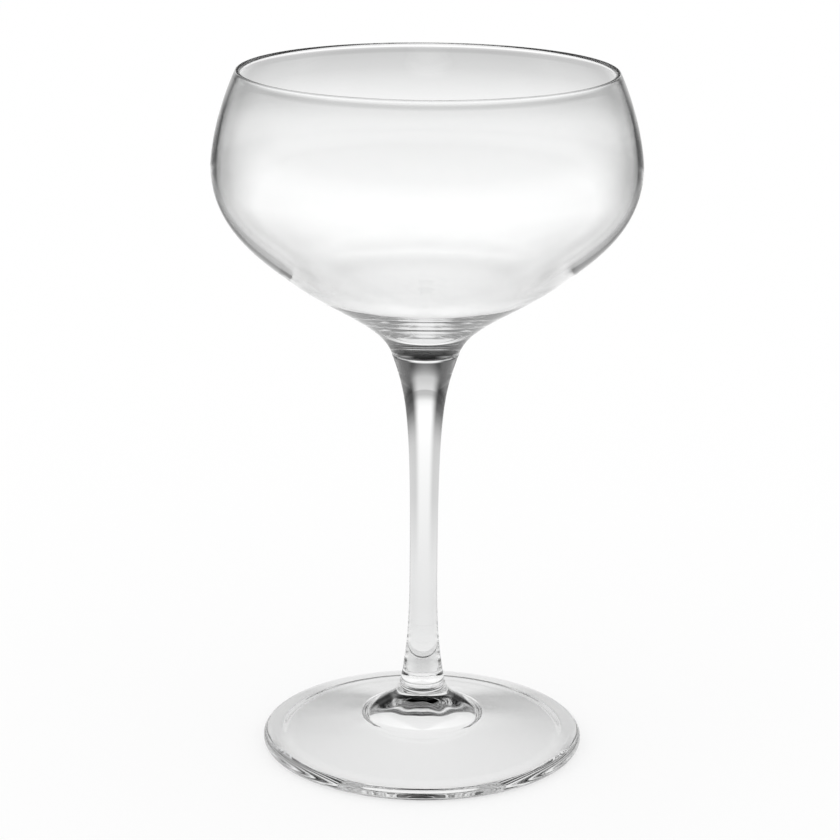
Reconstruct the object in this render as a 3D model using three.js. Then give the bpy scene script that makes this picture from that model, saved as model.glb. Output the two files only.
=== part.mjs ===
// A clear coupe on a tall stem: a blown bowl, a drawn stem and a pressed foot, fused at two welds.
// Millimetres, degrees, +Z up. The origin is the middle of the ring that the foot stands on.
import * as THREE from "three";

// Foot: an even sloping plate on a narrow flat ring, with a cone-shaped boss under the stem.
const FOOT_RADIUS = 37.2;
const FOOT_HEIGHT = 14.6;
const FOOT_EDGE_THICKNESS = 2.9;
const PLATE_SLOPE = 10.6;
const BOSS_RADIUS = 13.6;
const BOSS_FILLET = 0.5;
const NECK_FILLET = 1.9;
const REST_RING_WIDTH = 1.2;
const HOLLOW_FILLET = 0.8;

// Kick: the recess under the boss, with a low upright step, a sloping wall and a flatter crown.
const KICK_RADIUS = 12.8;
const KICK_STEP = 1;
const KICK_SLOPE = 24;
const KICK_RISE = 3.6;
const CROWN_RADIUS = 5;
const CROWN_SLOPE = 13;
const CROWN_RISE = 0.8;

// Lower weld, where the stem stands on the foot. A slope is measured up from level.
const LOWER_WELD_RADIUS = 5.25;
const LOWER_WELD_SLOPE = 78;

// Stem: a solid rod that is slimmest at its waist and flares into both welds.
const STEM_LENGTH = 79.2;
const WAIST_RADIUS = 3.2;
const WAIST_HEIGHT = 29.5;

// Upper weld, where the bowl sits on the stem.
const UPPER_WELD_RADIUS = 7.7;
const UPPER_WELD_SLOPE = 71;

// Bowl: heights are measured up from the upper weld, and the rim's radius to the top of its bead.
const BOWL_HEIGHT = 64.2;
const BASE_THICKNESS = 6.3;
const BASIN_RADIUS = 21.5;
const BASIN_HEIGHT = 13.2;
const BASIN_SLOPE = 23.7;
const SHOULDER_RADIUS = 32;
const SHOULDER_HEIGHT = 18.6;
const SHOULDER_SLOPE = 38;
const SHOULDER_WALL = 1.25;
const BELLY_RADIUS = 48;
const BELLY_HEIGHT = 43.2;
const WALL = 0.95;
const RIM_RADIUS = 41.87;
const RIM_LEAN = 25;
const RIM_BEAD = 1.25;
const RIM_BEAD_BLEND = 1.8;

// How long the two ends of each curved span hold their own way, as shares of the distance between them.
const KICK_HOLD = [0.35, 0.35];
const CROWN_HOLD = [0.35, 0.35];
const LOWER_STEM_HOLD = [0.33, 0.36];
const UPPER_STEM_HOLD = [0.75, 0.19];
const BASE_HOLD = [0.32, 0.21];
const BASIN_HOLD = [0.41, 0.44];
const FLARE_HOLD = [0.246, 0.411];
const SWELL_HOLD = [0.33, 0.42];
const LEAN_HOLD = [0.13, 0.47];
const BEAD_HOLD = [0.45, 0.45];

// Facets: steps round the axis, along each curved span and along each small rounding.
const STEPS_ROUND = 64;
const STEPS_ALONG = 6;
const STEPS_ROUNDING = 3;
const SAME_POINT = 1e-6;

const CLEAR_GLASS = { color: 0xf4f7f7, roughness: 0.02, metalness: 0, transparent: true, opacity: 0.35 };

const radians = THREE.MathUtils.degToRad;

// A point of an outline, as a radius and a height.
function point(radius, height) {
  return new THREE.Vector2(radius, height);
}

// A station is a point of an outline with the way the outline runs on from it.
function station(radius, height, slope) {
  return { at: point(radius, height), way: point(Math.cos(radians(slope)), Math.sin(radians(slope))) };
}

// The point at a distance along a way, back along it where the distance is negative.
function along({ at, way }, distance) {
  return at.clone().addScaledVector(way, distance);
}

// The station at a distance square to the outline, on the left of the way it runs.
function beside({ at, way }, distance) {
  return { at: at.clone().addScaledVector(point(-way.y, way.x), distance), way };
}

// The points of one smooth span between two stations.
function span(start, end, [startHold, endHold], steps = STEPS_ALONG) {
  const distance = start.at.distanceTo(end.at);
  const leave = along(start, startHold * distance);
  const arrive = along(end, -endHold * distance);
  return new THREE.CubicBezierCurve(start.at, leave, arrive, end.at).getPoints(steps);
}

// The points of an arc about a centre, anticlockwise.
function arc(centre, radius, from, to) {
  const curve = new THREE.EllipseCurve(centre.x, centre.y, radius, radius, radians(from), radians(to));
  return curve.getPoints(STEPS_ROUNDING);
}

// The points of a rounding that leaves one straight line before a corner and joins the next after it.
function rounding(start, corner, end) {
  return new THREE.QuadraticBezierCurve(start, corner, end).getPoints(STEPS_ROUNDING);
}

// Turns an outline about the vertical axis. It runs from the axis up the outside and back to the axis, and
// where two stretches meet, the point that they share is kept once.
function revolve(stretches) {
  const points = stretches.flat();
  const outline = points.filter((p, i) => i === 0 || p.distanceTo(points[i - 1]) > SAME_POINT);
  return new THREE.LatheGeometry(outline, STEPS_ROUND).rotateX(Math.PI / 2);
}

// The foot stands on a narrow flat ring just inside its rounded edge. Inside the ring the underside rises
// with the plate to the step of the kick below the stem.
function footGeometry() {
  const edgeRadius = FOOT_EDGE_THICKNESS / 2;
  const edge = point(FOOT_RADIUS - edgeRadius, edgeRadius);
  const ring = point(edge.x - REST_RING_WIDTH, 0);
  const hollow = station(ring.x - HOLLOW_FILLET, 0, 180 - PLATE_SLOPE);
  const hollowRise = (hollow.at.x - KICK_RADIUS) * Math.tan(radians(PLATE_SLOPE));
  const kick = station(KICK_RADIUS, hollowRise + KICK_STEP, 180 - KICK_SLOPE);
  const crown = station(CROWN_RADIUS, kick.at.y + KICK_RISE, 180 - CROWN_SLOPE);
  const crownTop = station(0, crown.at.y + CROWN_RISE, 180);
  const underside = [
    ...rounding(ring, hollow.at, along(hollow, HOLLOW_FILLET)),
    point(KICK_RADIUS, hollowRise),
    ...span(kick, crown, KICK_HOLD),
    ...span(crown, crownTop, CROWN_HOLD),
  ];

  const edgeBelow = arc(edge, edgeRadius, -90, 0);
  const edgeAbove = arc(edge, edgeRadius, 0, 90 - PLATE_SLOPE);
  const plateEdge = edgeAbove.at(-1);
  const plateRise = (plateEdge.x - BOSS_RADIUS) * Math.tan(radians(PLATE_SLOPE));
  const plate = station(BOSS_RADIUS, plateEdge.y + plateRise, 180 - PLATE_SLOPE);
  const weld = station(LOWER_WELD_RADIUS, FOOT_HEIGHT, 180 - LOWER_WELD_SLOPE);
  const neck = along(weld, -NECK_FILLET);
  const cone = neck.clone().sub(plate.at).normalize();
  return revolve([
    underside.reverse(),
    edgeBelow,
    edgeAbove,
    rounding(along(plate, -BOSS_FILLET), plate.at, along({ at: plate.at, way: cone }, BOSS_FILLET)),
    rounding(along({ at: neck, way: cone }, -NECK_FILLET), neck, weld.at),
    [point(0, FOOT_HEIGHT)],
  ]);
}

// The stem runs from the foot's weld in to its waist and out again to the bowl's weld.
function stemGeometry() {
  const lowerWeld = station(LOWER_WELD_RADIUS, 0, 180 - LOWER_WELD_SLOPE);
  const waist = station(WAIST_RADIUS, WAIST_HEIGHT, 90);
  const upperWeld = station(UPPER_WELD_RADIUS, STEM_LENGTH, UPPER_WELD_SLOPE);
  return revolve([
    [point(0, 0)],
    span(lowerWeld, waist, LOWER_STEM_HOLD),
    span(waist, upperWeld, UPPER_STEM_HOLD),
    [point(0, STEM_LENGTH)],
  ]);
}

// The bowl flares from the weld to its shoulder, swells to the belly and leans in to a beaded rim. Its wall
// thickens to the shoulder, and inside, a shallow basin rounds off above the weld and leaves a solid base.
function bowlGeometry() {
  const weld = station(UPPER_WELD_RADIUS, 0, UPPER_WELD_SLOPE);
  const shoulder = station(SHOULDER_RADIUS, SHOULDER_HEIGHT, SHOULDER_SLOPE);
  const belly = station(BELLY_RADIUS, BELLY_HEIGHT, 90);
  const beadRadius = RIM_BEAD / 2;
  const bead = station(RIM_RADIUS, BOWL_HEIGHT - beadRadius, 90 + RIM_LEAN);
  const outside = [
    ...span(weld, shoulder, FLARE_HOLD),
    ...span(shoulder, belly, SWELL_HOLD),
    ...span(belly, beside(bead, -beadRadius), LEAN_HOLD),
  ];

  const bottom = station(0, BASE_THICKNESS, 0);
  const basin = station(BASIN_RADIUS, BASIN_HEIGHT, BASIN_SLOPE);
  const innerShoulder = beside(shoulder, SHOULDER_WALL);
  const innerBelly = beside(belly, WALL);
  const belowBead = { at: along(bead, -RIM_BEAD_BLEND), way: bead.way };
  const innerNeck = beside(belowBead, WALL - beadRadius);
  const inside = [
    ...span(bottom, basin, BASE_HOLD),
    ...span(basin, innerShoulder, BASIN_HOLD),
    ...span(innerShoulder, innerBelly, SWELL_HOLD),
    ...span(innerBelly, innerNeck, LEAN_HOLD),
    ...span(innerNeck, beside(bead, beadRadius), BEAD_HOLD, STEPS_ROUNDING),
  ];
  const outerLip = arc(bead.at, beadRadius, RIM_LEAN, 90);
  const innerLip = arc(bead.at, beadRadius, 90, 180 + RIM_LEAN);
  return revolve([[point(0, 0)], outside, outerLip, innerLip, inside.reverse()]);
}

function piece(name, geometry, height) {
  const mesh = new THREE.Mesh(geometry, new THREE.MeshStandardMaterial(CLEAR_GLASS));
  mesh.name = name;
  mesh.position.z = height;
  return mesh;
}

const glass = new THREE.Group();
glass.add(
  piece("foot", footGeometry(), 0),
  piece("stem", stemGeometry(), FOOT_HEIGHT),
  piece("bowl", bowlGeometry(), FOOT_HEIGHT + STEM_LENGTH),
);

export default glass;
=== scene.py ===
"""Dresses a stemmed coupe in clear glass: a blown bowl, a drawn stem and a pressed foot, on a pale stage."""

import math

import bpy
import numpy as np
from bpy.props import FloatProperty, FloatVectorProperty, IntProperty, PointerProperty
from mathutils import Matrix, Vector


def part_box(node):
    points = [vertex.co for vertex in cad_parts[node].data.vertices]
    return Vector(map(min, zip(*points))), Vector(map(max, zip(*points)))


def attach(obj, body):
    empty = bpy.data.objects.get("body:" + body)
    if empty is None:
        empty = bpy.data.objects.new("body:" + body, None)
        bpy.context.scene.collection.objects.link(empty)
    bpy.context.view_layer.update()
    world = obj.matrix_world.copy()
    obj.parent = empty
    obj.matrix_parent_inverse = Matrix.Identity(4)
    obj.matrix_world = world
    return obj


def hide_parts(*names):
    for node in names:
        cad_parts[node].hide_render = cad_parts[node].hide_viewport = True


bl_info = {
    "name": "Stemmed Coupe",
    "version": (1, 0, 0),
    "blender": (4, 5, 0),
    "location": "3D View > Sidebar > Coupe",
    "description": "Makes a clear stemmed coupe and the pale stage that it stands on",
    "category": "Object",
}

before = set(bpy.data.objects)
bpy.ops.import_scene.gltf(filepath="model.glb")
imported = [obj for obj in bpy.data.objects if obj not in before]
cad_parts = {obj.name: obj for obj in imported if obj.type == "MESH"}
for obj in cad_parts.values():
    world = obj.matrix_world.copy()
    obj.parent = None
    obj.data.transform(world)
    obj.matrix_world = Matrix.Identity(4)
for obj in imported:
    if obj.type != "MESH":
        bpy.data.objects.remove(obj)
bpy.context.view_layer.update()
MM = 0.001
BODY = "root"
FOOT_LOW, FOOT_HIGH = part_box("foot")
STEM_LOW, STEM_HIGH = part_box("stem")
BOWL_LOW, BOWL_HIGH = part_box("bowl")

# The two welds. A slope is the rise of the outline above level, in degrees.
LOWER_WELD_RADIUS = 5.25 * MM
LOWER_WELD_SLOPE = 78
UPPER_WELD_RADIUS = STEM_HIGH.x
UPPER_WELD_SLOPE = 71

# How long the two ends of each curved span hold their own way, as shares of the distance between them.
BASE_HOLD = (0.32, 0.21)
BASIN_HOLD = (0.41, 0.44)
FLARE_HOLD = (0.246, 0.411)
SWELL_HOLD = (0.33, 0.42)
LEAN_HOLD = (0.13, 0.47)
BEAD_HOLD = (0.45, 0.45)
LOWER_STEM_HOLD = (0.33, 0.36)
UPPER_STEM_HOLD = (0.75, 0.19)
KICK_HOLD = (0.35, 0.35)
CROWN_HOLD = (0.35, 0.35)

# Waves round the axis that leave the glass slightly out of round: each has its share, how many there are
# round the glass, its twist in radians for each millimetre of rise, and the angle that it starts from.
BOWL_WAVES = ((1, 5, 0.3, 0), (0.7, 11, -0.6, 1), (0.5, 19, 0.9, 0))
FOOT_WAVES = ((1, 2, 0, 0.6), (0.6, 5, 0, 2), (0.4, 9, 0, 0))

# What the sum of such waves is divided by, how far from the shoulder the bowl's waves fade, and the share of
# the kick's radius inside which the foot's waves die away towards the axis.
WAVES_PEAK = 2
SHOULDER_BAND = 6 * MM
KICK_CALM = 0.4

# How closely the fine waves in the glass follow each other along X, Y and Z, for each metre, by the way
# that the piece was worked, and the noise of those waves and of the film on them, as scale and detail.
BLOWN_STRETCH = (60, 60, 200)
DRAWN_STRETCH = (600, 600, 30)
PRESSED_STRETCH = (140, 140, 140)
RIPPLE_NOISE = {"Waves": (1, 1), "Film": (4, 3)}

# What the glass sees round it. The level behind it gives way to the one at its sides, and that to the one
# in front, between two angles from +Y in degrees. Levels of the floor go by metres from the axis, and levels
# of the room by degrees above the floor. The room's levels are the world's light; the floor's levels are
# painted light and shade, a glow on the floor that only rays bent or mirrored by the glass see.
SIDE_TURN = (10, 28)
FRONT_TURN = (62, 92)
PAINTED_FLOOR_STOPS = {
    "Behind": [
        (0, 0.95), (0.06, 0.82), (0.2, 0.94), (0.5, 1.16),
        (0.9, 0.98), (1.15, 0.74), (1.6, 0.56), (4, 0.54),
    ],
    "Side": [
        (0, 1.1), (0.06, 0.8), (0.12, 0.85), (0.2, 0.66),
        (0.33, 0.6), (0.5, 0.3), (0.7, 0.13), (1.2, 0.06),
    ],
    "Front": [
        (0, 0.95), (0.035, 0.93), (0.05, 0.6), (0.06, 0.28),
        (0.12, 0.3), (0.2, 0.6), (0.35, 0.85), (1.2, 0.8),
    ],
}
ROOM_STOPS = {
    "Behind": [(0, 0.75), (4, 0.6), (8, 0)],
    "Side": [(0, 0.04), (4, 0.14), (14, 0.14), (20, 0.36), (26, 0.08), (34, 0)],
    "Front": [(0, 0.65), (4, 0.4), (8, 0)],
}

# Facets of the floor's edge, the camera's sensor in millimetres and its nearest distance in metres.
FLOOR_STEPS = 96
SENSOR_WIDTH = 36
NEAR_CLIP = 0.01

# How often light may bend in the glass or pass through its welds, and how close two points or two levels are
# that count as one, in metres.
BOUNCES = 200
WELD_BOUNCES = 32
SAME_POINT = 1e-9
SAME_LEVEL = 1e-6


def length(name, description, default):
    """A size in metres, shown in the scene's own unit."""
    return FloatProperty(name=name, description=description, default=default, precision=5, unit="LENGTH")


def angle(name, description, degrees):
    """An angle, given in degrees and kept in radians."""
    return FloatProperty(name=name, description=description, default=math.radians(degrees), unit="ROTATION")


def number(name, description, default):
    """A number without a unit."""
    return FloatProperty(name=name, description=description, default=default, precision=4)


class CoupeBowl(bpy.types.PropertyGroup):
    """The blown bowl. Heights are measured up from the upper weld."""

    weld_height: length("Weld height", "Height of the weld under the bowl", BOWL_LOW.z)
    height: length("Height", "From the weld to the top of the rim", BOWL_HIGH.z - BOWL_LOW.z)
    weld_radius: length("Weld radius", "Radius where the bowl sits on the stem", UPPER_WELD_RADIUS)
    weld_slope: angle("Weld slope", "Rise of the outline at the weld", UPPER_WELD_SLOPE)
    shoulder_radius: length("Shoulder radius", "Radius of the shoulder under the belly", 32 * MM)
    shoulder_height: length("Shoulder height", "Height of the shoulder", 18.6 * MM)
    shoulder_slope: angle("Shoulder slope", "Rise of the outline at the shoulder", 38)
    shoulder_wall: length("Shoulder wall", "Wall at the shoulder", 1.6 * MM)
    belly_radius: length("Belly radius", "Largest radius of the bowl", BOWL_HIGH.x)
    belly_height: length("Belly height", "Height of the largest radius", 43.2 * MM)
    wall: length("Wall", "Wall from the belly up to the rim", 1.2 * MM)
    rim_radius: length("Rim radius", "Radius of the top of the rim", 41.87 * MM)
    rim_lean: angle("Rim lean", "Lean of the wall inwards at the rim", 25)
    rim_bead: length("Rim bead", "Thickness of the rounded rim", 1.25 * MM)
    rim_blend: length("Rim blend", "How far the bead runs down into the wall", 1.8 * MM)
    base: length("Base", "Solid glass from the weld up to the inside", 6.3 * MM)
    basin_radius: length("Basin radius", "Radius of the shallow basin inside the base", 21.5 * MM)
    basin_height: length("Basin height", "Height of the edge of the basin", 13.3 * MM)
    basin_slope: angle("Basin slope", "Rise of the inside at the edge of the basin", 23.7)


class CoupeStem(bpy.types.PropertyGroup):
    """The drawn stem. Heights are measured up from the lower weld."""

    foot_height: length("Foot height", "Height of the weld under the stem", STEM_LOW.z)
    stem_length: length("Length", "From weld to weld", STEM_HIGH.z - STEM_LOW.z)
    lower_radius: length("Lower radius", "Radius where the stem stands on the foot", LOWER_WELD_RADIUS)
    lower_slope: angle("Lower slope", "Rise of the outline at the lower weld", LOWER_WELD_SLOPE)
    waist_radius: length("Waist radius", "Smallest radius", 3.2 * MM)
    waist_height: length("Waist height", "Height of the smallest radius", 29.5 * MM)
    upper_radius: length("Upper radius", "Radius where the bowl sits on the stem", UPPER_WELD_RADIUS)
    upper_slope: angle("Upper slope", "Rise of the outline at the upper weld", UPPER_WELD_SLOPE)


class CoupeFoot(bpy.types.PropertyGroup):
    """The pressed foot, with a cone-shaped boss above and a stepped kick below."""

    radius: length("Radius", "Largest radius of the foot", FOOT_HIGH.x)
    height: length("Height", "Height of the weld on the foot", FOOT_HIGH.z)
    edge: length("Edge", "Thickness of the rounded edge", 3.02 * MM)
    plate_slope: angle("Plate slope", "Rise of the plate towards the boss", 10.6)
    boss_radius: length("Boss radius", "Radius where the boss meets the plate", 13.6 * MM)
    boss_fillet: length("Boss fillet", "Set-back of the rounding between plate and boss", 1 * MM)
    neck_fillet: length("Neck fillet", "Set-back of the rounding between boss and stem", 2.54 * MM)
    weld_radius: length("Weld radius", "Radius where the stem stands on the foot", LOWER_WELD_RADIUS)
    weld_slope: angle("Weld slope", "Rise of the outline at the weld", LOWER_WELD_SLOPE)
    ring_width: length("Ring width", "Width of the flat ring that the foot rests on", 1.8 * MM)
    flank_width: length("Flank width", "Width of the soft flank from the ring up to the hollow", 3.7 * MM)
    flank_rise: length("Flank rise", "Height of the flank", 0.85 * MM)
    flank_hold: number("Flank hold", "How long the flank keeps its way at its two ends", 0.45)
    kick_radius: length("Kick radius", "Radius of the kick under the boss", 12.97 * MM)
    kick_step: length("Kick step", "Height of the upright step round the kick", 1.02 * MM)
    kick_slope: angle("Kick slope", "Rise of the kick's wall above the step", 42.7)
    kick_rise: length("Kick rise", "Rise of the kick's wall to its crown", 4.19 * MM)
    crown_radius: length("Crown radius", "Radius of the kick's flatter crown", 4.19 * MM)
    crown_slope: angle("Crown slope", "Rise of the crown at its edge", 17.3)
    crown_rise: length("Crown rise", "Height of the crown", 0.82 * MM)


class CoupeFinish(bpy.types.PropertyGroup):
    """The finish of the glass and the fineness of its surfaces."""

    tint: FloatVectorProperty(
        name="Tint",
        description="Colour of the glass where the film on it is thickest",
        subtype="COLOR",
        size=3,
        default=(0.985, 0.99, 0.988),
    )
    ior: number("Refraction", "Index of refraction of the glass", 1.52)
    haze: number("Haze", "Roughness where the film on the glass is thickest", 0.004)
    blown_ripple: length("Blown ripple", "Depth of the waves in the bowl", 0.004 * MM)
    drawn_ripple: length("Drawn ripple", "Depth of the streaks in the stem", 0.003 * MM)
    pressed_ripple: length("Pressed ripple", "Depth of the waves in the foot", 0.008 * MM)
    bowl_sway: length("Bowl sway", "How far the inside of the bowl wanders from round", 0.06 * MM)
    foot_sway: length("Foot sway", "How far the underside of the foot wanders from round", 0.08 * MM)
    round_steps: IntProperty(name="Steps round", description="Facets round the axis", default=256)
    span_steps: IntProperty(name="Steps along", description="Facets along a curved span", default=40)


class CoupeStage(bpy.types.PropertyGroup):
    """The floor, the light and the camera."""

    floor_radius: length("Floor radius", "Radius of the round floor", 4.0)
    floor_drop: length("Floor drop", "Gap that keeps the floor clear of the foot", 0.2 * MM)
    floor_colour: number("Floor colour", "How pale the floor is", 0.98)
    floor_glow: number("Floor glow", "How far the floor glows by itself, like a light table", 0.7)
    light: number("Light", "Brightness of the even light on the floor", 1.02)
    distance: length("Camera distance", "From the axis of the glass to the camera", 0.5911)
    rise: length("Camera height", "Height of the camera above the floor", 0.24727)
    aside: length("Camera aside", "How far the camera stands to the left of the axis", 1.1 * MM)
    pitch: angle("Camera pitch", "How far the camera looks down", 15.99)
    roll: angle("Camera roll", "How far the camera leans", 0.5)
    lens: number("Lens", "Focal length in millimetres", 115.7)


class CoupeSettings(bpy.types.PropertyGroup):
    """All that the sidebar shows."""

    bowl: PointerProperty(type=CoupeBowl)
    stem: PointerProperty(type=CoupeStem)
    foot: PointerProperty(type=CoupeFoot)
    finish: PointerProperty(type=CoupeFinish)
    stage: PointerProperty(type=CoupeStage)


def station(radius, height, slope):
    """A point of an outline, as radius and height, and the unit vector of the way that it runs on."""
    return np.array([radius, height]), np.array([math.cos(slope), math.sin(slope)])


def along(place, distance):
    """The point at a distance along the way of a station."""
    return place[0] + place[1] * distance


def beside(place, distance):
    """The station at a distance square to the outline, on the left of its way."""
    at, way = place
    return at + np.array([-way[1], way[0]]) * distance, way


def span(start, end, hold, steps):
    """A cubic curve between two stations: each end keeps its own way for a share of their distance."""
    reach = np.linalg.norm(end[0] - start[0])
    a, b, c, d = start[0], along(start, hold[0] * reach), along(end, -hold[1] * reach), end[0]
    t = np.linspace(0, 1, steps + 1)[:, None]
    return (1 - t) ** 3 * a + 3 * (1 - t) ** 2 * t * b + 3 * (1 - t) * t**2 * c + t**3 * d


def arc(centre, radius, start, end, steps):
    """Points at one radius from a centre, anticlockwise from one angle to another."""
    turn = np.linspace(start, end, steps + 1)
    return centre + radius * np.column_stack([np.cos(turn), np.sin(turn)])


def rounding(start, corner, end, steps):
    """A quadratic curve that leaves one straight line before a corner and joins the next after it."""
    t = np.linspace(0, 1, steps + 1)[:, None]
    return (1 - t) ** 2 * start + 2 * (1 - t) * t * corner + t**2 * end


def straight(start, end, steps):
    """Evenly spaced points from one to another."""
    t = np.linspace(0, 1, steps + 1)[:, None]
    return start + (end - start) * t


def joined(*stretches):
    """One outline from several stretches, with the point that two of them share kept once."""
    points = np.vstack(stretches)
    fresh = np.linalg.norm(np.diff(points, axis=0), axis=1) > SAME_POINT
    return points[np.concatenate([[True], fresh])]


def once_round(steps):
    """Evenly spaced angles once round the axis."""
    return np.linspace(0, 2 * np.pi, steps, endpoint=False)


def turned_mesh(name, outline, steps, sway=None):
    """Carries an outline once round the axis: ring i is (r cos a, r sin a, z) at every angle a, and the two
    ends of the outline, which lie on the axis, are single points. A sway adds its own (r, z) at every ring
    and angle."""
    turn = once_round(steps)
    rings = outline[1:-1]
    radius = rings[:, :1] * np.ones(steps)
    height = rings[:, 1:] * np.ones(steps)
    if sway is not None:
        radius = radius + sway[0]
        height = height + sway[1]
    wide = np.stack([radius * np.cos(turn), radius * np.sin(turn), height], axis=-1).reshape(-1, 3)
    points = np.vstack([[0, 0, outline[0, 1]], wide, [0, 0, outline[-1, 1]]])

    first = 1 + np.arange(len(rings) - 1)[:, None] * steps
    here = np.arange(steps)
    there = (here + 1) % steps
    quads = np.stack([first + here, first + there, first + steps + there, first + steps + here], axis=-1)
    last = 1 + (len(rings) - 1) * steps
    start_fan = np.column_stack([np.zeros(steps, int), 1 + there, 1 + here])
    end_fan = np.column_stack([np.full(steps, len(points) - 1), last + here, last + there])
    faces = [*start_fan.tolist(), *quads.reshape(-1, 4).tolist(), *end_fan.tolist()]
    mesh = bpy.data.meshes.new(name)
    mesh.from_pydata(points.tolist(), [], faces)
    return mesh


def glass_piece(name, mesh, materials, weld_below=None, weld_above=None):
    """A piece from its mesh. Faces at or below one level, or at or above another, are its welds, which stay
    flat and take the second material."""
    for material in materials:
        mesh.materials.append(material)
    middles = np.empty(len(mesh.polygons) * 3, np.float32)
    mesh.polygons.foreach_get("center", middles)
    level = middles.reshape(-1, 3)[:, 2]
    weld = np.zeros(len(level), bool)
    if weld_below is not None:
        weld |= level < weld_below + SAME_LEVEL
    if weld_above is not None:
        weld |= level > weld_above - SAME_LEVEL
    mesh.polygons.foreach_set("material_index", weld.astype(np.int32))
    mesh.polygons.foreach_set("use_smooth", ~weld)
    mesh.update()
    piece = bpy.data.objects.new(name, mesh)
    bpy.context.scene.collection.objects.link(piece)
    return piece


def claim(piece, node):
    """The piece stands for a node of the frame: it moves with the frame's body, and the node's own part is
    hidden.
    """
    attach(piece, BODY)
    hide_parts(node)


def swell(waves, turn, rise):
    """The sum of some waves: each is its share times the sine of its count times the turn round the axis,
    plus its twist times the rise, plus its start."""
    return sum(part * np.sin(count * turn + twist * rise + start) for part, count, twist, start in waves)


def bowl_sway(outline, steps, depth, shoulder):
    """How the inside of the bowl wanders in and out: waves round the axis that twist with height, strongest
    at the shoulder and fading in a bell curve above and below it. The outside stays round."""
    rings = outline[1:-1]
    inside = np.arange(len(rings)) > np.argmax(rings[:, 1])
    rise = rings[:, 1:] - shoulder
    strength = inside[:, None] * np.exp(-((rise / SHOULDER_BAND) ** 2))
    waves = swell(BOWL_WAVES, once_round(steps), rise / MM)
    return depth * strength * waves / WAVES_PEAK, np.zeros_like(waves)


def foot_sway(outline, steps, depth, ring, kick):
    """How the underside of the foot wanders up and down: waves round the axis, gone at the ring that the
    foot rests on and at the axis. The upper side stays round."""
    rings = outline[1:-1]
    radius = rings[:, 0]
    below = np.arange(len(rings)) < np.argmin(np.abs(radius - ring) + np.abs(rings[:, 1]))
    strength = np.where(below, np.clip((ring - radius) / (ring - kick), 0, 1), 0)
    strength = (strength * np.clip(radius / (KICK_CALM * kick), 0, 1))[:, None]
    waves = swell(FOOT_WAVES, once_round(steps), 0)
    return np.zeros((len(rings), steps)), depth * strength * waves / WAVES_PEAK


def bowl_outline(size, steps):
    """From the weld out along the flare, the shoulder and the belly, over the bead and down the inside."""
    fine = steps // 2
    weld = station(size.weld_radius, 0, size.weld_slope)
    shoulder = station(size.shoulder_radius, size.shoulder_height, size.shoulder_slope)
    belly = station(size.belly_radius, size.belly_height, math.pi / 2)
    bead_radius = size.rim_bead / 2
    bead = station(size.rim_radius, size.height - bead_radius, math.pi / 2 + size.rim_lean)
    below_bead = along(bead, -size.rim_blend), bead[1]
    inner_neck = beside(below_bead, size.wall - bead_radius)
    inner_belly = beside(belly, size.wall)
    inner_shoulder = beside(shoulder, size.shoulder_wall)
    bottom = station(0, size.base, 0)
    basin = station(size.basin_radius, size.basin_height, size.basin_slope)
    inside = joined(
        span(bottom, basin, BASE_HOLD, steps),
        span(basin, inner_shoulder, BASIN_HOLD, steps),
        span(inner_shoulder, inner_belly, SWELL_HOLD, steps),
        span(inner_belly, inner_neck, LEAN_HOLD, steps),
        span(inner_neck, beside(bead, bead_radius), BEAD_HOLD, fine),
    )
    outline = joined(
        [[0, 0]],
        span(weld, shoulder, FLARE_HOLD, steps),
        span(shoulder, belly, SWELL_HOLD, steps),
        span(belly, beside(bead, -bead_radius), LEAN_HOLD, steps),
        arc(bead[0], bead_radius, size.rim_lean, size.rim_lean + math.pi, fine),
        inside[::-1],
    )
    return outline + [0, size.weld_height]


def stem_outline(size, steps):
    """From the lower weld in to the waist and out again to the upper weld."""
    lower = station(size.lower_radius, 0, math.pi - size.lower_slope)
    waist = station(size.waist_radius, size.waist_height, math.pi / 2)
    upper = station(size.upper_radius, size.stem_length, size.upper_slope)
    outline = joined(
        [[0, 0]],
        span(lower, waist, LOWER_STEM_HOLD, steps),
        span(waist, upper, UPPER_STEM_HOLD, steps),
        [[0, size.stem_length]],
    )
    return outline + [0, size.foot_height]


def underside(size, ring_radius, steps):
    """From the ring that the foot rests on up the flank, along the hollow and up the kick to its crown."""
    fine = steps // 2
    ring = station(ring_radius, 0, math.pi)
    hollow = station(ring_radius - size.flank_width, size.flank_rise, math.pi - size.plate_slope)
    hollow_rise = size.flank_rise + (hollow[0][0] - size.kick_radius) * math.tan(size.plate_slope)
    step = np.array([size.kick_radius, hollow_rise])
    kick = station(size.kick_radius, hollow_rise + size.kick_step, math.pi - size.kick_slope)
    crown = station(size.crown_radius, kick[0][1] + size.kick_rise, math.pi - size.crown_slope)
    top = station(0, crown[0][1] + size.crown_rise, math.pi)
    return joined(
        span(ring, hollow, (size.flank_hold, size.flank_hold), fine),
        straight(hollow[0], step, fine),
        straight(step, kick[0], 1),
        span(kick, crown, KICK_HOLD, steps),
        span(crown, top, CROWN_HOLD, fine),
    )


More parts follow.
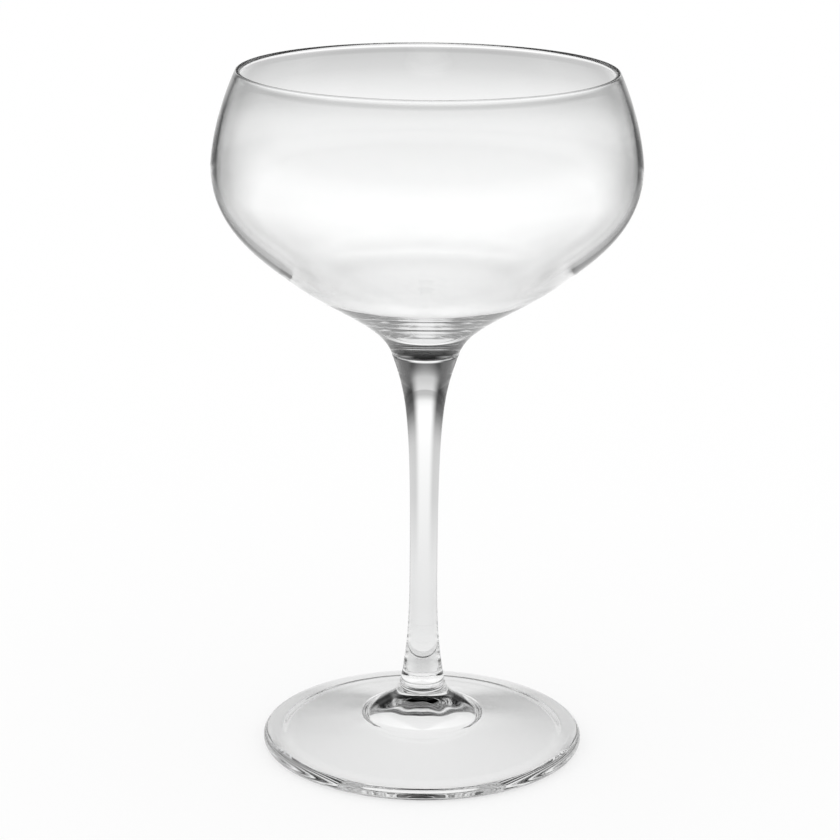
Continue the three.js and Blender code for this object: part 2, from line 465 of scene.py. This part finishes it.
def foot_outline(size, steps):
    """From the crown of the kick down the underside, round the edge, and up the plate and the boss."""
    fine = steps // 2
    edge_radius = size.edge / 2
    edge = np.array([size.radius - edge_radius, edge_radius])
    below = underside(size, edge[0] - size.ring_width, steps)
    rounded = arc(edge, edge_radius, -math.pi / 2, math.pi / 2 - size.plate_slope, fine)
    plate_rise = (rounded[-1, 0] - size.boss_radius) * math.tan(size.plate_slope)
    plate = station(size.boss_radius, rounded[-1, 1] + plate_rise, math.pi - size.plate_slope)
    weld = station(size.weld_radius, size.height, math.pi - size.weld_slope)
    neck = along(weld, -size.neck_fillet)
    cone = (neck - plate[0]) / np.linalg.norm(neck - plate[0])
    plate_stop = along(plate, -size.boss_fillet)
    boss_start = plate[0] + cone * size.boss_fillet
    boss_stop = neck - cone * size.neck_fillet
    return joined(
        below[::-1],
        rounded,
        straight(rounded[-1], plate_stop, fine),
        rounding(plate_stop, plate[0], boss_start, fine),
        straight(boss_start, boss_stop, fine),
        rounding(boss_stop, neck, weld[0], fine),
        [[0, size.height]],
    )


def new_material(name):
    """A material with an empty node tree."""
    material = bpy.data.materials.new(name)
    material.use_nodes = True
    material.node_tree.nodes.clear()
    return material


def calculate(tree, operation, *values):
    """A Math node, and what it puts out. A value is a number or another node's socket."""
    node = tree.nodes.new("ShaderNodeMath")
    node.operation = operation
    for socket, value in zip(node.inputs, values):
        if isinstance(value, (int, float)):
            socket.default_value = value
        else:
            tree.links.new(value, socket)
    return node.outputs["Value"]


def glass_ripple():
    """A group for the unevenness that hot work leaves in glass: soft waves and the mask of a faint film."""
    name = "glass_ripple"
    if name in bpy.data.node_groups:
        return bpy.data.node_groups[name]
    tree = bpy.data.node_groups.new(name, "ShaderNodeTree")
    for label in ("Place", "Stretch"):
        tree.interface.new_socket(label, in_out="INPUT", socket_type="NodeSocketVector")
    for label in RIPPLE_NOISE:
        tree.interface.new_socket(label, in_out="OUTPUT", socket_type="NodeSocketFloat")
    given = tree.nodes.new("NodeGroupInput")
    spread = tree.nodes.new("ShaderNodeVectorMath")
    spread.operation = "MULTIPLY"
    tree.links.new(given.outputs["Place"], spread.inputs[0])
    tree.links.new(given.outputs["Stretch"], spread.inputs[1])
    result = tree.nodes.new("NodeGroupOutput")
    for label, (scale, detail) in RIPPLE_NOISE.items():
        noise = tree.nodes.new("ShaderNodeTexNoise")
        noise.inputs["Scale"].default_value = scale
        noise.inputs["Detail"].default_value = detail
        tree.links.new(spread.outputs["Vector"], noise.inputs["Vector"])
        tree.links.new(noise.outputs["Fac"], result.inputs[label])
    return tree


def clear_glass(name, finish, stretch, depth):
    """Clear polished glass with waves of one depth, stretched along the way that the piece was worked."""
    material = new_material(name)
    tree = material.node_tree
    nodes, links = tree.nodes, tree.links
    where = nodes.new("ShaderNodeTexCoord")
    ripple = nodes.new("ShaderNodeGroup")
    ripple.node_tree = glass_ripple()
    ripple.inputs["Stretch"].default_value = stretch
    links.new(where.outputs["Object"], ripple.inputs["Place"])
    bump = nodes.new("ShaderNodeBump")
    bump.inputs["Distance"].default_value = depth
    links.new(ripple.outputs["Waves"], bump.inputs["Height"])
    tone = nodes.new("ShaderNodeMix")
    tone.data_type = "RGBA"
    tone.inputs["A"].default_value = (1, 1, 1, 1)
    tone.inputs["B"].default_value = (*finish.tint, 1)
    links.new(ripple.outputs["Film"], tone.inputs["Factor"])
    glass = nodes.new("ShaderNodeBsdfPrincipled")
    glass.inputs["IOR"].default_value = finish.ior
    glass.inputs["Transmission Weight"].default_value = 1.0
    links.new(tone.outputs["Result"], glass.inputs["Base Color"])
    links.new(calculate(tree, "MULTIPLY", ripple.outputs["Film"], finish.haze), glass.inputs["Roughness"])
    links.new(bump.outputs["Normal"], glass.inputs["Normal"])
    out = nodes.new("ShaderNodeOutputMaterial")
    links.new(glass.outputs["BSDF"], out.inputs["Surface"])
    return material


def weld_face():
    """The fused faces inside the glass, where nothing shows."""
    material = new_material("weld_face")
    nodes, links = material.node_tree.nodes, material.node_tree.links
    unseen = nodes.new("ShaderNodeBsdfPrincipled")
    unseen.inputs["Alpha"].default_value = 0.0
    unseen.inputs["Roughness"].default_value = 0.0
    out = nodes.new("ShaderNodeOutputMaterial")
    links.new(unseen.outputs["BSDF"], out.inputs["Surface"])
    return material


class CoupeOperator:
    """What the operators share."""

    bl_options = {"REGISTER", "UNDO"}

    def glass(self, name, finish, stretch, depth):
        """The glass of a piece and the unseen face of its welds, each made once."""
        made = bpy.data.materials
        glass = made.get(name) or clear_glass(name, finish, stretch, depth)
        return glass, made.get("weld_face") or weld_face()


class COUPE_OT_bowl(CoupeOperator, bpy.types.Operator):
    """Make the blown bowl"""

    bl_idname = "coupe.bowl"
    bl_label = "Bowl"

    def execute(self, context):
        name = "bowl_glass"
        size, finish = context.scene.coupe.bowl, context.scene.coupe.finish
        outline = bowl_outline(size, finish.span_steps)
        glass = self.glass("blown_glass", finish, BLOWN_STRETCH, finish.blown_ripple)
        shoulder = size.weld_height + size.shoulder_height
        sway = bowl_sway(outline, finish.round_steps, finish.bowl_sway, shoulder)
        mesh = turned_mesh(name, outline, finish.round_steps, sway)
        piece = glass_piece(name, mesh, glass, weld_below=size.weld_height)
        claim(piece, "bowl")
        return {"FINISHED"}


class COUPE_OT_stem(CoupeOperator, bpy.types.Operator):
    """Make the drawn stem"""

    bl_idname = "coupe.stem"
    bl_label = "Stem"

    def execute(self, context):
        name = "stem_glass"
        size, finish = context.scene.coupe.stem, context.scene.coupe.finish
        outline = stem_outline(size, finish.span_steps)
        glass = self.glass("drawn_glass", finish, DRAWN_STRETCH, finish.drawn_ripple)
        top = size.foot_height + size.stem_length
        mesh = turned_mesh(name, outline, finish.round_steps // 2)
        piece = glass_piece(name, mesh, glass, weld_below=size.foot_height, weld_above=top)
        claim(piece, "stem")
        return {"FINISHED"}


class COUPE_OT_foot(CoupeOperator, bpy.types.Operator):
    """Make the pressed foot"""

    bl_idname = "coupe.foot"
    bl_label = "Foot"

    def execute(self, context):
        name = "foot_glass"
        size, finish = context.scene.coupe.foot, context.scene.coupe.finish
        outline = foot_outline(size, finish.span_steps)
        glass = self.glass("pressed_glass", finish, PRESSED_STRETCH, finish.pressed_ripple)
        ring = size.radius - size.edge / 2 - size.ring_width
        sway = foot_sway(outline, finish.round_steps, finish.foot_sway, ring, size.kick_radius)
        mesh = turned_mesh(name, outline, finish.round_steps, sway)
        piece = glass_piece(name, mesh, glass, weld_above=size.height)
        claim(piece, "foot")
        return {"FINISHED"}


def ramp(nodes, stops):
    """A colour ramp in grey through (place, level) stops."""
    node = nodes.new("ShaderNodeValToRGB")
    elements = node.color_ramp.elements
    while len(elements) > 1:
        elements.remove(elements[-1])
    for i, (place, level) in enumerate(stops):
        element = elements[0] if i == 0 else elements.new(place)
        element.position = place
        element.color = (level, level, level, 1)
    return node


def bright_field():
    """A group that blends three levels round the horizon, one behind the glass, one at its sides and one in
    front of it, by the turn of a vector away from +Y."""
    name = "bright_field"
    if name in bpy.data.node_groups:
        return bpy.data.node_groups[name]
    tree = bpy.data.node_groups.new(name, "ShaderNodeTree")
    tree.interface.new_socket("Way", in_out="INPUT", socket_type="NodeSocketVector")
    for label in PAINTED_FLOOR_STOPS:
        tree.interface.new_socket(label, in_out="INPUT", socket_type="NodeSocketFloat")
    tree.interface.new_socket("Level", in_out="OUTPUT", socket_type="NodeSocketFloat")
    given = tree.nodes.new("NodeGroupInput")
    split = tree.nodes.new("ShaderNodeSeparateXYZ")
    tree.links.new(given.outputs["Way"], split.inputs["Vector"])
    turn = calculate(tree, "ABSOLUTE", calculate(tree, "ARCTAN2", split.outputs["X"], split.outputs["Y"]))
    level = given.outputs["Behind"]
    for label, (start, end) in {"Side": SIDE_TURN, "Front": FRONT_TURN}.items():
        part = tree.nodes.new("ShaderNodeMapRange")
        part.interpolation_type = "SMOOTHSTEP"
        part.inputs["From Min"].default_value = math.radians(start)
        part.inputs["From Max"].default_value = math.radians(end)
        tree.links.new(turn, part.inputs["Value"])
        blend = tree.nodes.new("ShaderNodeMix")
        tree.links.new(part.outputs["Result"], blend.inputs["Factor"])
        tree.links.new(level, blend.inputs["A"])
        tree.links.new(given.outputs[label], blend.inputs["B"])
        level = blend.outputs["Result"]
    result = tree.nodes.new("NodeGroupOutput")
    tree.links.new(level, result.inputs["Level"])
    return tree


def seen_in_glass(tree):
    """A socket that is 1 for a ray that a glass face has bent or mirrored, and 0 for any other."""
    path = tree.nodes.new("ShaderNodeLightPath")
    return calculate(tree, "MAXIMUM", path.outputs["Is Transmission Ray"], path.outputs["Is Glossy Ray"])


def field_level(tree, way, reach, stops):
    """The level of the surroundings in the direction of a vector, by how far off or high up they are."""
    field = tree.nodes.new("ShaderNodeGroup")
    field.node_tree = bright_field()
    tree.links.new(way, field.inputs["Way"])
    for label, levels in stops.items():
        level = ramp(tree.nodes, levels)
        tree.links.new(reach, level.inputs["Fac"])
        tree.links.new(level.outputs["Color"], field.inputs[label])
    return field.outputs["Level"]


def floor_material(stage):
    """A pale matt floor that glows a little. The glass sees its own levels of it: painted light and shade.
    """
    material = new_material("pale_floor_painted_light")
    tree = material.node_tree
    nodes, links = tree.nodes, tree.links
    matt = nodes.new("ShaderNodeBsdfDiffuse")
    matt.inputs["Color"].default_value = (stage.floor_colour,) * 3 + (1,)
    where = nodes.new("ShaderNodeTexCoord")
    far = nodes.new("ShaderNodeVectorMath")
    far.operation = "LENGTH"
    links.new(where.outputs["Object"], far.inputs[0])
    reach = calculate(tree, "DIVIDE", far.outputs["Value"], stage.floor_radius)
    # Painted light and shade on the floor, by distance and turn from the axis: the levels of a glow that
    # only the glass sees.
    stops = {
        side: [(distance / stage.floor_radius, level) for distance, level in row]
        for side, row in PAINTED_FLOOR_STOPS.items()
    }
    painted_glow = nodes.new("ShaderNodeEmission")
    level = field_level(tree, where.outputs["Object"], reach, stops)
    links.new(level, painted_glow.inputs["Color"])
    lit = nodes.new("ShaderNodeEmission")
    table = nodes.new("ShaderNodeMixShader")
    table.inputs["Fac"].default_value = stage.floor_glow
    links.new(matt.outputs["BSDF"], table.inputs[1])
    links.new(lit.outputs["Emission"], table.inputs[2])
    # Rays bent or mirrored by the glass see only the painted glow; all other rays see the matt floor and its
    # even glow.
    mix = nodes.new("ShaderNodeMixShader")
    links.new(seen_in_glass(tree), mix.inputs["Fac"])
    links.new(table.outputs["Shader"], mix.inputs[1])
    links.new(painted_glow.outputs["Emission"], mix.inputs[2])
    out = nodes.new("ShaderNodeOutputMaterial")
    links.new(mix.outputs["Shader"], out.inputs["Surface"])
    material.cycles.emission_sampling = "NONE"
    return material


def make_floor(stage):
    """A round floor: one face through points at one radius from the axis."""
    turn = once_round(FLOOR_STEPS)
    ring = stage.floor_radius * np.column_stack([np.cos(turn), np.sin(turn), np.zeros(FLOOR_STEPS)])
    mesh = bpy.data.meshes.new("floor")
    mesh.from_pydata((ring - [0, 0, stage.floor_drop]).tolist(), [], [list(range(FLOOR_STEPS))])
    mesh.materials.append(floor_material(stage))
    floor = bpy.data.objects.new("floor", mesh)
    bpy.context.scene.collection.objects.link(floor)


def make_light(stage):
    """An even white light, which the glass sees as panels that fade upwards into a dark room."""
    world = bpy.data.worlds.new("studio")
    bpy.context.scene.world = world
    world.use_nodes = True
    tree = world.node_tree
    nodes, links = tree.nodes, tree.links
    nodes.clear()
    even = nodes.new("ShaderNodeBackground")
    even.inputs["Color"].default_value = (1, 1, 1, 1)
    even.inputs["Strength"].default_value = stage.light
    where = nodes.new("ShaderNodeTexCoord")
    split = nodes.new("ShaderNodeSeparateXYZ")
    links.new(where.outputs["Generated"], split.inputs["Vector"])
    stops = {
        side: [(math.sin(math.radians(degrees)), level) for degrees, level in row]
        for side, row in ROOM_STOPS.items()
    }
    room = nodes.new("ShaderNodeBackground")
    level = field_level(tree, where.outputs["Generated"], split.outputs["Z"], stops)
    links.new(level, room.inputs["Color"])
    mix = nodes.new("ShaderNodeMixShader")
    links.new(seen_in_glass(tree), mix.inputs["Fac"])
    links.new(even.outputs["Background"], mix.inputs[1])
    links.new(room.outputs["Background"], mix.inputs[2])
    out = nodes.new("ShaderNodeOutputWorld")
    links.new(mix.outputs["Shader"], out.inputs["Surface"])


def make_camera(stage):
    """A long lens in front of the glass, a little above its rim, looking down."""
    lens = bpy.data.cameras.new("camera")
    lens.lens = stage.lens
    lens.sensor_width = SENSOR_WIDTH
    lens.clip_start = NEAR_CLIP
    camera = bpy.data.objects.new("camera", lens)
    turn = Matrix.Rotation(math.pi / 2 - stage.pitch, 4, "X") @ Matrix.Rotation(stage.roll, 4, "Z")
    camera.matrix_world = Matrix.Translation((-stage.aside, -stage.distance, stage.rise)) @ turn
    bpy.context.scene.collection.objects.link(camera)
    bpy.context.scene.camera = camera


class COUPE_OT_stage(CoupeOperator, bpy.types.Operator):
    """Make the floor, the light and the camera"""

    bl_idname = "coupe.stage"
    bl_label = "Stage"

    def execute(self, context):
        scene = context.scene
        stage = scene.coupe.stage
        make_floor(stage)
        make_light(stage)
        make_camera(stage)
        scene.view_settings.view_transform = "Standard"
        scene.cycles.max_bounces = BOUNCES
        scene.cycles.transmission_bounces = BOUNCES
        scene.cycles.glossy_bounces = BOUNCES
        scene.cycles.transparent_max_bounces = WELD_BOUNCES
        return {"FINISHED"}


class COUPE_PT_sidebar(bpy.types.Panel):
    """Lists the pieces of the coupe with their sizes"""

    bl_idname = "COUPE_PT_sidebar"
    bl_label = "Coupe"
    bl_space_type = "VIEW_3D"
    bl_region_type = "UI"
    bl_category = "Coupe"

    def draw(self, context):
        settings = context.scene.coupe
        for name in ("bowl", "stem", "foot", "stage"):
            box = self.layout.box()
            box.operator(f"coupe.{name}")
            group = getattr(settings, name)
            for size in group.__annotations__:
                box.prop(group, size)
        box = self.layout.box()
        box.label(text="Finish")
        for value in settings.finish.__annotations__:
            box.prop(settings.finish, value)


CLASSES = (
    CoupeBowl,
    CoupeStem,
    CoupeFoot,
    CoupeFinish,
    CoupeStage,
    CoupeSettings,
    COUPE_OT_bowl,
    COUPE_OT_stem,
    COUPE_OT_foot,
    COUPE_OT_stage,
    COUPE_PT_sidebar,
)


def register():
    """Adds the settings, the operators and the sidebar."""
    for each in CLASSES:
        bpy.utils.register_class(each)
    bpy.types.Scene.coupe = PointerProperty(type=CoupeSettings)


def unregister():
    """Takes away what register added."""
    del bpy.types.Scene.coupe
    for each in reversed(CLASSES):
        bpy.utils.unregister_class(each)


def main():
    """Makes the stage and the three pieces."""
    register()
    bpy.ops.coupe.stage()
    bpy.ops.coupe.bowl()
    bpy.ops.coupe.stem()
    bpy.ops.coupe.foot()


if __name__ == "__main__":
    main()
